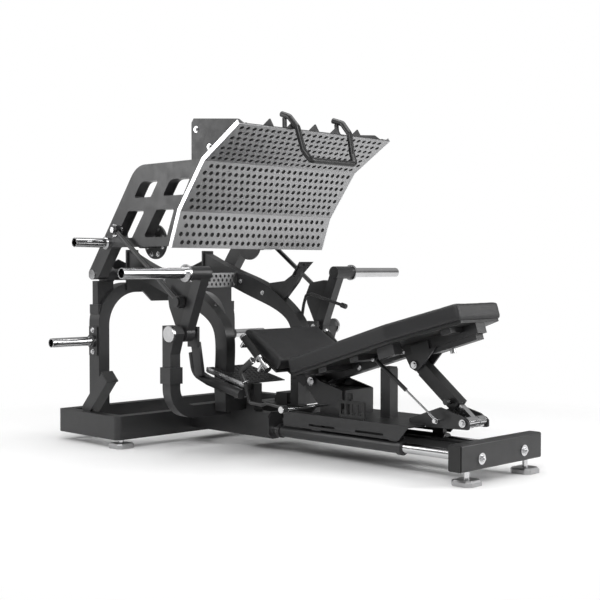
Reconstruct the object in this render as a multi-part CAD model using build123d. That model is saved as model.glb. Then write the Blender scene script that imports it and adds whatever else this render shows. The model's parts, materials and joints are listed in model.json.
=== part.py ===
"""Plate-loaded leg press: welded base, swinging foot plate, weight levers and a sliding seat.

Millimetres. +X runs from the foot plate towards the user's head, +Z is up, and the machine is
symmetric about y = 0 apart from its hand levers. The origin is on the floor, under the centre.
"""
from build123d import *
import os
from math import atan2, cos, degrees, hypot, radians, sin

os.makedirs("parts", exist_ok=True)

# ---------------------------------------------------------------- driving dimensions
HALF_LENGTH = 1160.0        # floor frame reaches this far each way in X
FOOT_HEIGHT = 40.0          # levelling feet lift the frame by this much
WALL = 3.0                  # wall of the open tubes

REAR_BASE_LENGTH = 510.0    # rear floor ring, along X
REAR_BASE_HALF_WIDTH = 650.0
REAR_TUBE = 60.0            # width of the ring's tubes
REAR_TUBE_HEIGHT = 115.0

COLUMN_X = -1090.0          # rear columns and arch
COLUMN_Y = 440.0
COLUMN_WIDTH = 66.0
COLUMN_DEPTH = 85.0
ARCH_UNDERSIDE = 752.0
ARCH_TOP = 802.0
STUB_WIDTH = 47.0

SWING_Z = 845.0             # transverse axle that the foot plate frame swings on
SWING_SHAFT_R = 20.0
TORSION_TUBE_R = 30.0
RUNNING_CLEARANCE = 0.05
SIDE_GAP = 2.0              # free side play between parts that turn on each other

ARM_Y = 450.0               # side frames of the swinging foot plate
ARM_WIDTH = 60.0
ARM_BAR = 90.0

PLATE_HALF_WIDTH = 513.0    # foot plate, bent to three facets
PLATE_PROFILE = ((82.0, 1521.0), (-156.0, 1373.0), (-330.0, 1146.0), (-396.0, 975.0))
PLATE_SHEET = 5.0
PLATE_EDGE = 12.0
HOLE_R = 11.5
HOLE_COLUMNS = 25
HOLE_ROWS = (7, 7, 4)

LEVER_X, LEVER_Z = -353.0, 568.0     # weight lever pivot
LEVER_Y = 465.0
LEVER_WIDTH = 50.0
LEVER_SHAFT_R = 15.0
HORN_X, HORN_Z = -230.0, 855.0       # weight sleeve at the lever's top
SLEEVE_R = 25.0
SLEEVE_WALL = 4.0
HORN_FLANGE_Y = 569.0
HORN_END_Y = 933.0
LINK_PIN_R = 9.0
LINK_TOP = (-851.0, 1070.0)
LINK_LOW = (-352.0, 718.0)
LINK_Y = 508.0
LINK_EYE = 28.0
LINK_R = 12.0

RAIL_Y = 152.0              # chrome guide rods of the seat carriage
RAIL_Z = 105.0
RAIL_R = 22.0
BEARING_TUBE_R = 28.0
BEARING_TUBE_X = (-26.0, 733.0)
RAIL_REAR_X = -62.0

CROSSMEMBER_X = (1072.0, 1140.0)
CROSSMEMBER_HALF_WIDTH = 283.0
CROSSMEMBER_Z = (60.0, 170.0)

SEAT_FRONT = (-174.0, 591.0)         # top line of the seat pad, front edge to crease
SEAT_CREASE = (75.0, 448.0)
SEAT_HALF_WIDTH = 250.0
SEAT_THICKNESS = 62.0
PAD_GAP = 26.0
BACK_TOP = (1012.0, 736.0)           # top line of the back pad ends here
BACK_THICKNESS = 72.0
BACK_HALF_WIDTH = 250.0
HEAD_HALF_WIDTH = 150.0
SHOULDER = 640.0                     # distance from the crease where the back pad narrows
BACK_HINGE = (141.0, 348.0)
HINGE_PIN_R = 10.0
PROP_TOP = (704.0, 454.0)
PROP_LOW = (990.0, 226.0)
PROP_WIDTH = 60.0
PROP_BAR = 34.0
GAS_TOP = (540.0, 474.0)
GAS_LOW = (884.0, 232.0)
GAS_Y = 118.0
GAS_BODY_R = 9.0
GAS_ROD_R = 4.5


# ---------------------------------------------------------------- helpers
def block(x0, x1, y0, y1, z0, z1):
    """Box between two corners."""
    return Pos((x0 + x1) / 2, (y0 + y1) / 2, (z0 + z1) / 2) * Box(x1 - x0, y1 - y0, z1 - z0)


def outline(points, radius):
    """Closed face through the points, with its corners rounded."""
    if radius:
        return make_face(FilletPolyline(*points, radius=radius, close=True))
    return make_face(Polyline(*points, close=True))


def side_slab(points, y0, y1, radius=0):
    """Outline given in X and Z, extruded between two values of y."""
    plane = Plane(origin=(0, y1, 0), x_dir=(1, 0, 0), z_dir=(0, -1, 0))
    return extrude(plane * outline(points, radius), amount=y1 - y0)


def cross_slab(points, x0, x1, radius=0):
    """Outline given in Y and Z, extruded between two values of x."""
    plane = Plane(origin=(x0, 0, 0), x_dir=(0, 1, 0), z_dir=(1, 0, 0))
    return extrude(plane * outline(points, radius), amount=x1 - x0)


def plan_slab(points, z0, z1, radius=0):
    """Outline given in X and Y, extruded between two heights."""
    return extrude(Plane(origin=(0, 0, z0)) * outline(points, radius), amount=z1 - z0)


def rod(start, end, radius):
    """Round bar between two points."""
    line = Vector(*end) - Vector(*start)
    return Solid.make_cylinder(radius, line.length, Plane(origin=start, z_dir=line))


def pipe(start, end, radius, bore):
    """Round tube between two points."""
    return rod(start, end, radius) - rod(start, end, bore)


def cross_rod(x, z, y0, y1, radius):
    """Round bar along Y."""
    return rod((x, y0, z), (x, y1, z), radius)


def bent_rod(points, radius, bend):
    """Round bar along a path of straight runs and tangent bends."""
    path = FilletPolyline(*points, radius=bend)
    section = Plane(origin=path @ 0, z_dir=path % 0) * Circle(radius)
    return sweep(section, path=path)


def bar(start, end, width, y0, y1, overrun=0.0):
    """Rectangular bar whose centre line runs between two X, Z points."""
    dx, dz = end[0] - start[0], end[1] - start[1]
    length = hypot(dx, dz)
    ux, uz = dx / length, dz / length
    nx, nz = -uz * width / 2, ux * width / 2
    ax, az = start[0] - ux * overrun, start[1] - uz * overrun
    bx, bz = end[0] + ux * overrun, end[1] + uz * overrun
    corners = [(ax + nx, az + nz), (bx + nx, bz + nz), (bx - nx, bz - nz), (ax - nx, az - nz)]
    return side_slab(corners, y0, y1)


def both(shape):
    """The shape and its mirror image across y = 0."""
    return [shape, mirror(shape, about=Plane.XZ)]


def along(start, end, distance, offset=0.0):
    """X, Z point at a distance along a line, offset to its left."""
    dx, dz = end[0] - start[0], end[1] - start[1]
    length = hypot(dx, dz)
    ux, uz = dx / length, dz / length
    return (start[0] + ux * distance - uz * offset, start[1] + uz * distance + ux * offset)


def hex_bolt(point, axis, size, washer_r=0.0):
    """Hexagon bolt head with a domed face, on its washer, standing on a surface."""
    plane = Plane(origin=point, z_dir=axis)
    thick = size * 0.16 if washer_r else 0.0
    head = extrude(plane.offset(thick) * RegularPolygon(size * 0.9, 6), amount=size * 0.6)
    dome = plane.offset(thick + size * 0.6) * Cylinder(size * 0.62, size * 0.14,
                                                       align=(Align.CENTER, Align.CENTER, Align.MIN))
    shape = head + dome
    if washer_r:
        shape = shape + plane * Cylinder(washer_r, thick, align=(Align.CENTER, Align.CENTER, Align.MIN))
    return shape


def write(name, *shapes):
    """Write one sub-part as a STEP file of its solids."""
    solids = []
    for shape in shapes:
        for item in (shape if isinstance(shape, (list, tuple)) else [shape]):
            solids.extend(item.solids())
    export_step(Compound(children=solids) if len(solids) > 1 else solids[0], f"parts/{name}.step")


# ---------------------------------------------------------------- floor frame
RING_X0 = -HALF_LENGTH
RING_X1 = RING_X0 + REAR_BASE_LENGTH
RING_Z0 = FOOT_HEIGHT + 2.0
RING_Z1 = RING_Z0 + REAR_TUBE_HEIGHT
CENTRE_BEAM_Z = (RAIL_Z - 40.0, 185.0)
CENTRE_BEAM_HALF = 27.0
PLATE_X0 = RAIL_REAR_X


def rear_base():
    """Floor ring under the columns, with rounded corners."""
    w, t = REAR_BASE_HALF_WIDTH, REAR_TUBE
    outer = plan_slab([(RING_X0, -w), (RING_X1, -w), (RING_X1, w), (RING_X0, w)], RING_Z0, RING_Z1, 28)
    inner = plan_slab([(RING_X0 + t, -w + t), (RING_X1 - t, -w + t), (RING_X1 - t, w - t),
                       (RING_X0 + t, w - t)], RING_Z0 - 1, RING_Z1 + 1, 14)
    return outer - inner


def centre_base():
    """Two beams from the rear ring to the ends of the guide rods, tied by two cross plates."""
    z0, z1 = CENTRE_BEAM_Z
    parts = both(block(RING_X1, PLATE_X0 - 12, RAIL_Y - CENTRE_BEAM_HALF, RAIL_Y + CENTRE_BEAM_HALF, z0, z1))
    inner = RAIL_Y - CENTRE_BEAM_HALF
    ties = [block(RING_X1, RING_X1 + 50, -inner, inner, z0, z1),
            block(-300, -240, -inner, inner, z0, z1 - 30)]
    corner = 26
    half_y, low, high = 45.0, RAIL_Z - 42, 192.0
    end = cross_slab([(RAIL_Y - half_y + corner, low), (RAIL_Y + half_y - corner, low),
                      (RAIL_Y + half_y, low + corner), (RAIL_Y + half_y, high - corner),
                      (RAIL_Y + half_y - corner, high), (RAIL_Y - half_y + corner, high),
                      (RAIL_Y - half_y, high - corner), (RAIL_Y - half_y, low + corner)],
                     PLATE_X0 - 12, PLATE_X0)
    shape = parts[0] + parts[1]
    for item in ties + both(end):
        shape = shape + item
    return shape


def centre_rail():
    """Middle beam from the centre base to the front crossmember, with a bolted flange."""
    beam = block(PLATE_X0 - 178, CROSSMEMBER_X[0], -35, 35, CROSSMEMBER_Z[0] + 10, 132)
    strip = block(560, CROSSMEMBER_X[0] - 60, -20, 20, 132, 138)
    return beam + strip


def crossmember():
    """Front floor tube with rounded edges and plastic-capped ends."""
    w = CROSSMEMBER_HALF_WIDTH
    x0, x1 = CROSSMEMBER_X
    z0, z1 = CROSSMEMBER_Z
    return side_slab([(x0, z0), (x1, z0), (x1, z1), (x0, z1)], -w, w, 9)


def foot(x, y, top):
    """Levelling foot: eight-sided shoe with a bevelled rim, and its stem."""
    half, cut = 52.0, 20.0
    ring = [(half - cut, -half), (half, -half + cut), (half, half - cut), (half - cut, half),
            (-half + cut, half), (-half, half - cut), (-half, -half + cut), (-half + cut, -half)]
    shoe = Pos(x, y, 0) * plan_slab(ring, 0, 24)
    upper = shoe.edges().group_by(Axis.Z)[-1]
    shoe = chamfer(upper, 7)
    return shoe, rod((x, y, 24), (x, y, top), 12)


FEET = [(CROSSMEMBER_X[0] + 36, 208.0, CROSSMEMBER_Z[0]), (RING_X1 - 34, 600.0, RING_Z0),
        (RING_X0 + 52, 300.0, RING_Z0)]
shoes, stems = [], []
for foot_x, foot_y, foot_top in FEET:
    for side in (-1, 1):
        shoe_part, stem_part = foot(foot_x, side * foot_y, foot_top)
        shoes.append(shoe_part)
        stems.append(stem_part)

write("rear_base_ring", rear_base())
write("centre_base", centre_base())
write("centre_rail", centre_rail())
write("front_crossmember", crossmember())
write("levelling_feet", shoes)

end_caps = both(block(CROSSMEMBER_X[0] + 4, CROSSMEMBER_X[1] - 4, CROSSMEMBER_HALF_WIDTH,
                      CROSSMEMBER_HALF_WIDTH + 5, CROSSMEMBER_Z[0] + 4, CROSSMEMBER_Z[1] - 4))

guide_rods = both(rod((PLATE_X0, RAIL_Y, RAIL_Z), (CROSSMEMBER_X[0], RAIL_Y, RAIL_Z), RAIL_R))
write("guide_rods", guide_rods)
ROD_BOLT = 13.0
washers = both(rod((CROSSMEMBER_X[1], RAIL_Y, RAIL_Z), (CROSSMEMBER_X[1] + 5, RAIL_Y, RAIL_Z), 24))
rod_bolts = []
for side in (-1, 1):
    rod_bolts.append(hex_bolt((CROSSMEMBER_X[1] + 5, side * RAIL_Y, RAIL_Z), (1, 0, 0), ROD_BOLT, 14))
# the bolt head ends exactly at the overall length
rod_bolt_top = CROSSMEMBER_X[1] + 5 + ROD_BOLT * 0.9
rod_bolts = [item + rod((rod_bolt_top - 1, side * RAIL_Y, RAIL_Z), (HALF_LENGTH, side * RAIL_Y, RAIL_Z), 5)
             for item, side in zip(rod_bolts, (-1, 1))]


# ---------------------------------------------------------------- columns and arch
def arch():
    """Rear portal: two columns bent over into an arch."""
    outer_y, inner_y = COLUMN_Y + COLUMN_WIDTH / 2, COLUMN_Y - COLUMN_WIDTH / 2
    x0, x1 = COLUMN_X - COLUMN_DEPTH / 2, COLUMN_X + COLUMN_DEPTH / 2
    low = RING_Z1 - REAR_TUBE_HEIGHT
    outer = make_face(FilletPolyline((-outer_y, low), (-outer_y, ARCH_TOP), (outer_y, ARCH_TOP),
                                     (outer_y, low), radius=215) + Line((outer_y, low), (-outer_y, low)))
    inner = make_face(FilletPolyline((-inner_y, low - 1), (-inner_y, ARCH_UNDERSIDE),
                                     (inner_y, ARCH_UNDERSIDE), (inner_y, low - 1), radius=175)
                      + Line((inner_y, low - 1), (-inner_y, low - 1)))
    plane = Plane(origin=(x0, 0, 0), x_dir=(0, 1, 0), z_dir=(1, 0, 0))
    return extrude(plane * outer, amount=x1 - x0) - extrude(plane * inner, amount=x1 - x0)


def bearing_stand(side):
    """Stub post on a column, with the housing that carries the swing axle inboard of it."""
    x0, x1 = COLUMN_X - STUB_WIDTH / 2, COLUMN_X + STUB_WIDTH / 2
    post_in, post_out = ARM_Y - 38, COLUMN_Y + 25
    post = block(x0, x1, post_in, post_out, 640, SWING_Z - 33)
    collar = block(x0 - 14, x1 + 14, post_in + 6, COLUMN_Y + 33, 640, 690)
    web = block(x0, x1, post_in - 12, post_in, 700, SWING_Z)
    housing_in, housing_out = 366.0, ARM_Y - ARM_WIDTH / 2 - SIDE_GAP
    housing = cross_rod(COLUMN_X, SWING_Z, housing_in, housing_out, 44)
    pedestal = block(x0, x1, housing_in, housing_out, 740, SWING_Z)
    shape = post + collar + web + pedestal + housing
    shape = shape - cross_rod(COLUMN_X, SWING_Z, housing_in - 1, housing_out + 1,
                              SWING_SHAFT_R + RUNNING_CLEARANCE)
    shape = shape - block(x0 - 1, x1 + 1, ARM_Y - ARM_WIDTH / 2 - SIDE_GAP, 600, SWING_Z - 33, SWING_Z + 60)
    shape = shape - arch()
    return shape if side > 0 else mirror(shape, about=Plane.XZ)


ring = rear_base()
portal = arch() - ring
write("rear_arch", portal)
stands = []
for side in (-1, 1):
    pieces = bearing_stand(side).solids()
    stands.append(max(pieces, key=lambda piece: piece.volume))
write("swing_bearing_stands", stands)

ARCH_FRONT = COLUMN_X + COLUMN_DEPTH / 2
GUSSET = 12.0
gusset = cross_slab([(-134, 703), (134, 703), (201, 762), (300, 762), (300, 975), (225, 975), (225, 830),
                     (-225, 830), (-225, 975), (-300, 975), (-300, 762), (-201, 762)], ARCH_FRONT,
                    ARCH_FRONT + GUSSET)
column_plates = []
for side in (-1, 1):
    y_out = side * (COLUMN_Y + COLUMN_WIDTH / 2)
    column_plates.append(block(COLUMN_X - 34, COLUMN_X + 34, min(y_out, y_out + side * 8),
                               max(y_out, y_out + side * 8), 425, 575))

PEG_END = 735.0
PEG_R = 24.0
peg_collar_y = COLUMN_Y + COLUMN_WIDTH / 2 + 8
low_pegs, low_peg_collars = [], []
for side in (-1, 1):
    collar_end = peg_collar_y + 16
    low_pegs.append(pipe((COLUMN_X, side * collar_end, 500), (COLUMN_X, side * PEG_END, 500),
                         PEG_R, PEG_R - SLEEVE_WALL))
    low_peg_collars.append(rod((COLUMN_X, side * peg_collar_y, 500), (COLUMN_X, side * collar_end, 500),
                               PEG_R + 9))
write("lower_storage_pegs", low_pegs)
write("arch_plates", gusset, column_plates, low_peg_collars)

column_bolts = []
for side in (-1, 1):
    for height in (444, 556):
        point = (COLUMN_X + 0, side * (COLUMN_Y + COLUMN_WIDTH / 2 + 8), height)
        column_bolts.append(hex_bolt(point, (0, side, 0), 11, 14))
    for height in (436, 548):
        point = (COLUMN_X + 10, side * (COLUMN_Y - COLUMN_WIDTH / 2), height)
        column_bolts.append(hex_bolt(point, (0, -side, 0), 11, 14))


# ---------------------------------------------------------------- main beams
BEAM_Y = 262.5
BEAM_HALF = 27.5
BEAM_REAR = ARCH_FRONT + GUSSET
BEAM_TOP_LINE = [(BEAM_REAR, 962), (-1010, 952), (-925, 918), (-744, 857), (-551, 794), (-441, 736),
                 (-330, 655), (-271, 580), (-258, 500), (-262, 400), (-266, 245)]
BEAM_LOW_LINE = [(-345, 245), (-345, 400), (-341, 500), (-360, 585), (-437, 648), (-580, 702), (-741, 755),
                 (-813, 781), (BEAM_REAR, 850)]


def smooth_band(upper, lower, y0, y1):
    """Slab bounded by a smooth upper and a smooth lower curve."""
    top = Spline(*upper)
    low = Spline(*lower)
    face = make_face(top + Line(upper[-1], lower[0]) + low + Line(lower[-1], upper[0]))
    plane = Plane(origin=(0, y1, 0), x_dir=(1, 0, 0), z_dir=(0, -1, 0))
    return extrude(plane * face, amount=y1 - y0)


BEAM_FOOT = block(-345, -266, RAIL_Y - CENTRE_BEAM_HALF, BEAM_Y + BEAM_HALF, CENTRE_BEAM_Z[1], 245)
beam = smooth_band(BEAM_TOP_LINE, BEAM_LOW_LINE, BEAM_Y - BEAM_HALF, BEAM_Y + BEAM_HALF) + BEAM_FOOT
beams = both(beam)
write("left_main_beam", beams[1])
write("right_main_beam", beams[0])

beam_bolts = []
for bolt_x, bolt_z in ((-735, 808), (-564, 748)):
    for side in (-1, 1):
        for face in (-1, 1):
            point = (bolt_x, side * BEAM_Y + face * BEAM_HALF, bolt_z)
            beam_bolts.append(hex_bolt(point, (0, face, 0), 10, 13))

# perforated step between the beams
STEP_X, STEP_LOW, STEP_HIGH = -772.0, 775.0, 853.0
STEP_HALF = BEAM_Y - BEAM_HALF
STEP_SHEET = 4.0
STEP_HOLE_R = 9.0
STEP_PITCH = 30.0
step = block(STEP_X, STEP_X + STEP_SHEET, -STEP_HALF, STEP_HALF, STEP_LOW, STEP_HIGH)
step = step + block(STEP_X - 40, STEP_X, -STEP_HALF, STEP_HALF, STEP_HIGH - STEP_SHEET, STEP_HIGH)
for row in range(3):
    count = 15 - row % 2
    for column in range(count):
        hole_y = (column - (count - 1) / 2) * STEP_PITCH
        hole_z = STEP_LOW + 17 + row * 22
        step = step - rod((STEP_X - 1, hole_y, hole_z), (STEP_X + STEP_SHEET + 1, hole_y, hole_z), STEP_HOLE_R)
write("cross_step", step)

# stop fork on the right beam; the foot plate comes down on it at the end of its travel
fork = side_slab([(-523, 800), (-411, 812), (-356, 843), (-303, 911), (-222, 911), (-285, 858), (-321, 806),
                  (-410, 720), (-500, 740)], 250, 274)
fork = fork - cross_rod(-268, 895, 249, 275, 7)
fork = fork - side_slab([(-352, 838), (-306, 892), (-292, 884), (-336, 830)], 249, 275, 4)
fork = fork - beams[0]
write("stop_fork", max(fork.solids(), key=lambda piece: piece.volume))

# pivot of the stop handle, and the parking peg of the other beam
HANDLE_X, HANDLE_Z = -335.0, 615.0
HANDLE_PIN_R = 7.0             # the pin that the stop handle turns on
BEAM_OUT = BEAM_Y + BEAM_HALF
handle_pin = cross_rod(HANDLE_X, HANDLE_Z, BEAM_OUT, BEAM_OUT + 22, HANDLE_PIN_R)
handle_pin = handle_pin + cross_rod(HANDLE_X, HANDLE_Z, BEAM_OUT + 18, BEAM_OUT + 22, 12)
parking_peg = rod((-400, -BEAM_Y, 650), (-363, -BEAM_Y, 700), 9) - beams[1]
parking_peg = max(parking_peg.solids(), key=lambda piece: piece.volume)
hub = cross_rod(HANDLE_X, HANDLE_Z, BEAM_OUT + 2, BEAM_OUT + 16, 17)
stop_path = [(HANDLE_X + 4, BEAM_OUT + 9, HANDLE_Z + 10), (-318, BEAM_OUT + 9, 690),
             (-300, BEAM_OUT + 9, 738), (-262, BEAM_OUT + 9, 745), (-53, BEAM_OUT + 15, 692)]
stop_rod = bent_rod(stop_path, 8, 16)
knob = rod((-57, BEAM_OUT + 15, 693), (-24, BEAM_OUT + 15, 684.6), 13)
knob = chamfer(knob.edges(), 2)
stop_handle = hub + stop_rod + knob - cross_rod(HANDLE_X, HANDLE_Z, BEAM_OUT, BEAM_OUT + 30,
                                                HANDLE_PIN_R + RUNNING_CLEARANCE)
write("stop_handle", max(stop_handle.solids(), key=lambda piece: piece.volume))
write("base_fasteners", stems, washers, rod_bolts, column_bolts, beam_bolts, handle_pin, parking_peg)


# ---------------------------------------------------------------- lever uprights and tread
UPRIGHT_Y = 530.0
UPRIGHT_HALF = 30.0


def upright():
    """Square tube down from the lever pivot, bent inboard to the centre base."""
    out, inn = UPRIGHT_Y + UPRIGHT_HALF, UPRIGHT_Y - UPRIGHT_HALF
    top, low = LEVER_Z + 38, 160.0
    edge = RAIL_Y + CENTRE_BEAM_HALF
    outer = FilletPolyline((edge, low), (out, low), (out, top), radius=150)
    inner = FilletPolyline((inn, top), (inn, low + 60), (edge, low + 60), radius=92)
    face = make_face(outer + Line((out, top), (inn, top)) + inner + Line((edge, low + 60), (edge, low)))
    plane = Plane(origin=(LEVER_X - UPRIGHT_HALF - 30, 0, 0), x_dir=(0, 1, 0), z_dir=(1, 0, 0))
    body = extrude(plane * face, amount=2 * UPRIGHT_HALF)
    cheek = side_slab([(LEVER_X - 60, 470), (LEVER_X, 470), (LEVER_X + 34, LEVER_Z),
                       (LEVER_X + 16, LEVER_Z + 36), (LEVER_X - 60, LEVER_Z + 38)], inn, out)
    body = body + cheek
    return body - cross_rod(LEVER_X, LEVER_Z, inn - 1, out + 1, LEVER_SHAFT_R)


uprights = both(upright())
write("left_upright", uprights[1])
write("right_upright", uprights[0])

clamps = []
for item in both(block(LEVER_X - 68, LEVER_X + 8, UPRIGHT_Y - 38, UPRIGHT_Y + 38, 330, 408)):
    clamps.append(item - uprights[0] - uprights[1])

shafts, caps = [], []
for side in (-1, 1):
    shafts.append(cross_rod(LEVER_X, LEVER_Z, min(side * 405, side * 560), max(side * 405, side * 560),
                            LEVER_SHAFT_R))
    cap = rod((LEVER_X, side * 560, LEVER_Z), (LEVER_X, side * 574, LEVER_Z), 40)
    cap = chamfer(cap.edges().group_by(Axis.Y)[0 if side < 0 else -1], 3)
    caps.append(cap)
write("lever_shafts", shafts, caps)

inner_brackets = []
for item in both(block(LEVER_X - 45, LEVER_X + 30, 405, 418, 500, LEVER_Z + 30)):
    inner_brackets.append(item)
inner_posts = both(bar((LEVER_X - 8, 520), (-330, 362), 56, 388, 405))
bracket_parts = []
for plate_part, leg in zip(inner_brackets, inner_posts):
    shape = plate_part + leg
    bracket_parts.append(shape - shafts[0] - shafts[1])
write("upright_brackets", clamps, bracket_parts)

# tread platform between the uprights, sloping down towards the seat
TREAD_REAR, TREAD_FRONT = (-352.0, 398.0), (-86.0, 338.0)
TREAD_HALF = 330.0
tread_angle = degrees(atan2(TREAD_REAR[1] - TREAD_FRONT[1], TREAD_FRONT[0] - TREAD_REAR[0]))
tread_length = hypot(TREAD_FRONT[0] - TREAD_REAR[0], TREAD_FRONT[1] - TREAD_REAR[1])
tread = block(0, tread_length, 66, TREAD_HALF, -4, 0) + block(0, tread_length, TREAD_HALF - 4, TREAD_HALF, -26, 0)
TREAD_PITCH = 25.0
slot_cut = None
for row in range(9):
    for column in range(10):
        hole_x = 22 + row * TREAD_PITCH * 1.08
        hole_y = 92 + column * TREAD_PITCH + (TREAD_PITCH / 2 if row % 2 else 0)
        tool = rod((hole_x, hole_y, -5), (hole_x, hole_y, 1), 7.5)
        tread = tread - tool
tread = Pos(TREAD_REAR[0], 0, TREAD_REAR[1]) * Rot(0, tread_angle, 0) * tread
BEAM_NOTCH = block(-500, -250, BEAM_Y - BEAM_HALF - 3, BEAM_Y + BEAM_HALF + 3, 200, 500)
tread = tread - BEAM_NOTCH
tread = max(tread.solids(), key=lambda piece: piece.volume)
write("tread_plates", both(tread))
tread_trim = block(0, tread_length, TREAD_HALF, TREAD_HALF + 7, -20, 1)
tread_trim = Pos(TREAD_REAR[0], 0, TREAD_REAR[1]) * Rot(0, tread_angle, 0) * tread_trim
write("tread_edge_trims", both(tread_trim))

side_rail_path = [(-418, 364, 470), (-398, 364, 372), (-300, 364, 338), (-70, 364, 290)]
tread_tubes = []
for item in both(bent_rod(side_rail_path, 24, 60)):
    tread_tubes.append(item)
tie = block(-230, -196, 179, 364, 290, 318)
leg = block(-240, -186, 125, 179, 185, 318)
post_plate = block(-262, -176, RAIL_Y - 27, RAIL_Y + 27, 185, 190)
carriers = []
for tube_part, tie_part in zip(tread_tubes, both(tie + leg + post_plate)):
    carriers.append(tube_part + tie_part)
write("tread_carriers", carriers)

# stowage stub on the rear ring: square tube with a plastic cap
STUB_LOW, STUB_HIGH = (-985.0, 150.0), (-812.0, 335.0)
stub_tube = bar(STUB_LOW, STUB_HIGH, 62, -610, -548)
stub_tube = stub_tube - ring
stub_tube = max(stub_tube.solids(), key=lambda piece: piece.volume)
write("bar_holder", stub_tube)
cap_a = along(STUB_LOW, STUB_HIGH, hypot(STUB_HIGH[0] - STUB_LOW[0], STUB_HIGH[1] - STUB_LOW[1]))
cap_b = along(STUB_LOW, STUB_HIGH, hypot(STUB_HIGH[0] - STUB_LOW[0], STUB_HIGH[1] - STUB_LOW[1]) + 8)
write("base_caps", end_caps, bar(cap_a, cap_b, 68, -613, -545))

# ---------------------------------------------------------------- swinging foot plate
ARM_IN, ARM_OUT = ARM_Y - ARM_WIDTH / 2, ARM_Y + ARM_WIDTH / 2


def profile_offset(distance):
    """Foot plate profile moved backwards, away from the user, by a distance."""
    moved = []
    for index, (x, z) in enumerate(PLATE_PROFILE):
        before = PLATE_PROFILE[max(index - 1, 0)]
        after = PLATE_PROFILE[min(index + 1, len(PLATE_PROFILE) - 1)]
        dx, dz = after[0] - before[0], after[1] - before[1]
        length = hypot(dx, dz)
        moved.append((x + distance * dz / length, z - distance * dx / length))
    return moved


def plate_band(front, back, y0, y1):
    """Strip that follows the foot plate's bent profile between two depths behind its face."""
    points = profile_offset(front) + profile_offset(back)[::-1]
    return side_slab(points, y0, y1)


def press_arm():
    """Side frame of the foot plate: leaning bar, top chord, struts and windows."""
    back = profile_offset(PLATE_SHEET + 6)
    points = [(-1125, 858), (-1125, 830), (-1090, 819), (-1042, 828), (-921, 985),
              (back[3][0] - 4, 985), back[2], (back[1][0], back[1][1] - 8), (-215, 1388), (-715, 1388)]
    radii = [4, 12, 20, 20, 20, 8, 8, 8, 8, 140]
    face = make_face(FilletPolyline(*points, radius=radii, close=True))
    plane = Plane(origin=(0, ARM_OUT, 0), x_dir=(1, 0, 0), z_dir=(0, -1, 0))
    shape = extrude(plane * face, amount=ARM_WIDTH)
    windows = [([(-886, 1030), (-753, 1030), (-648, 1163), (-784, 1163)], [18, 10, 10, 10]),
               ([(-737, 1227), (-601, 1227), (-541, 1305), (-676, 1305)], [8, 8, 8, 55]),
               ([(-660, 1030), (-478, 1030), (-420, 1163), (-556, 1163)], [10, 10, 10, 10]),
               ([(-508, 1227), (-352, 1227), (-300, 1305), (-448, 1305)], [8, 8, 8, 55])]
    for corners, bends in windows:
        hole = make_face(FilletPolyline(*corners, radius=bends, close=True))
        shape = shape - extrude(Plane(origin=(0, ARM_OUT + 1, 0), x_dir=(1, 0, 0), z_dir=(0, -1, 0)) * hole,
                                amount=ARM_WIDTH + 2)
    shape = shape - cross_rod(COLUMN_X, SWING_Z, ARM_IN - 1, ARM_OUT + 1, SWING_SHAFT_R)
    return shape


BACKING = 3.0
backing = plate_band(PLATE_SHEET + 1, PLATE_SHEET + 1 + BACKING, -PLATE_HALF_WIDTH + 4, PLATE_HALF_WIDTH - 4)
arms = [item - backing for item in both(press_arm())]
write("left_press_arm", arms[1])
write("right_press_arm", arms[0])
shaft_caps = both(cross_rod(COLUMN_X, SWING_Z, ARM_OUT, ARM_OUT + 6, 26))

TORSION_END = 364.0
torsion = rod((COLUMN_X, -TORSION_END, SWING_Z), (COLUMN_X, TORSION_END, SWING_Z), TORSION_TUBE_R)
for wing in both(cross_slab([(110, 858), (TORSION_END, 858), (TORSION_END, 893), (300, 925), (200, 885)],
                            COLUMN_X - 28, COLUMN_X - 18)):
    torsion = torsion + wing
torsion = torsion - rod((COLUMN_X, -TORSION_END - 1, SWING_Z), (COLUMN_X, TORSION_END + 1, SWING_Z),
                        SWING_SHAFT_R)
write("swing_shaft", cross_rod(COLUMN_X, SWING_Z, -ARM_OUT, ARM_OUT, SWING_SHAFT_R), torsion)


def facet(start, end, rows, stagger):
    """One flat facet of the foot plate with staggered rows of round holes."""
    dx, dz = end[0] - start[0], end[1] - start[1]
    length = hypot(dx, dz)
    ux, uz = dx / length, dz / length
    plane = Plane(origin=(start[0], 0, start[1]), x_dir=(0, 1, 0), z_dir=(-uz, 0, ux))
    pitch_y = 2 * (PLATE_HALF_WIDTH - 14) / (HOLE_COLUMNS + 0.5)
    pitch_s = length / (rows + 0.35)
    spots = []
    for row in range(rows):
        shift = pitch_y / 2 if (row + stagger) % 2 else 0
        for column in range(HOLE_COLUMNS):
            spots.append((-PLATE_HALF_WIDTH + 14 + pitch_y * (column + 0.5) + shift,
                          -pitch_s * (row + 0.675)))
    sheet = Pos(0, -length / 2) * Rectangle(2 * PLATE_HALF_WIDTH, length)
    sheet = sheet - [Pos(y, s) * Circle(HOLE_R) for y, s in spots]
    return extrude(plane * sheet, amount=-PLATE_SHEET)


facets = []
row_count = 0
for start, end, rows in zip(PLATE_PROFILE[:-1], PLATE_PROFILE[1:], HOLE_ROWS):
    facets.append(facet(start, end, rows, row_count))
    row_count += rows
foot_plate = facets[0] + facets[1] + facets[2]
write("foot_plate", foot_plate)

write("foot_plate_backing", backing)
write("foot_plate_edges", both(plate_band(-1, 21, PLATE_HALF_WIDTH, PLATE_HALF_WIDTH + 5)))

ribs = []
for rib_y in (-300, -150, 0, 150, 300):
    ribs.append(plate_band(PLATE_SHEET + 1 + BACKING, 52, rib_y - 4, rib_y + 4))

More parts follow.
